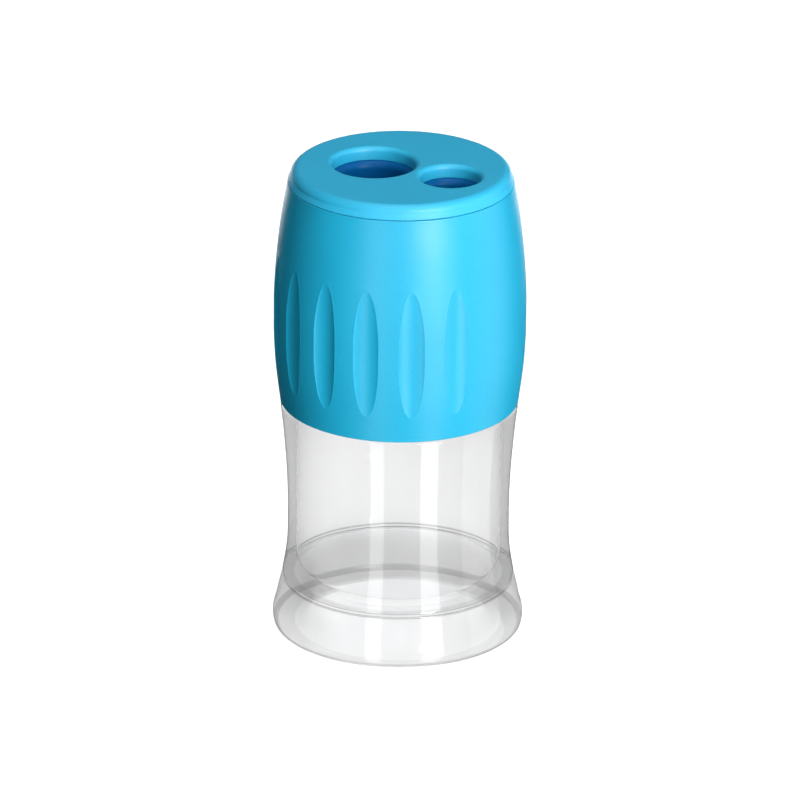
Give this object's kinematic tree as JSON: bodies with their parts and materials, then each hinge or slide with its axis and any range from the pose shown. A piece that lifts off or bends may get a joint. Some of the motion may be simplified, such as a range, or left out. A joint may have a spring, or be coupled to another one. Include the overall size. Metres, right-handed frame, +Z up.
{
  "type": "canister pencil sharpener",
  "caption": "Hand-held canister pencil sharpener: a fluted barrel grip and flat cover with a large and a small pencil hole, over a clear waisted shavings cup.",
  "frame": {"origin": "centre of the underside of the base, on the surface that it stands on", "axes": "+Z up along the axis of the cup and grip, +X from the large pencil hole towards the small one, -Y the side that the blades face"},
  "size_m": [0.042, 0.042, 0.0813],
  "materials": {
    "clear_plastic": "clear, polished moulding",
    "blue_grip": "satin moulded plastic with a fine grain",
    "blue_cover": "satin moulded plastic",
    "dark_blue_insert": "smooth moulded plastic",
    "blade_steel": "ground and polished",
    "screw_steel": "plated, lightly turned"
  },
  "bodies": {
    "cup": {"cup_base": "clear_plastic", "shavings_cup": "clear_plastic"},
    "head": {"grip_housing": "blue_grip", "top_cover": "blue_cover", "sharpener_block": "dark_blue_insert", "jumbo_blade": "blade_steel", "standard_blade": "blade_steel", "jumbo_blade_screw": "screw_steel", "standard_blade_screw": "screw_steel"}
  },
  "joints": [
    {"name": "head_lift", "type": "slide", "parent": "cup", "child": "head", "axis": [0, 0, 1], "range_m": [0, 0.03]}
  ]
}
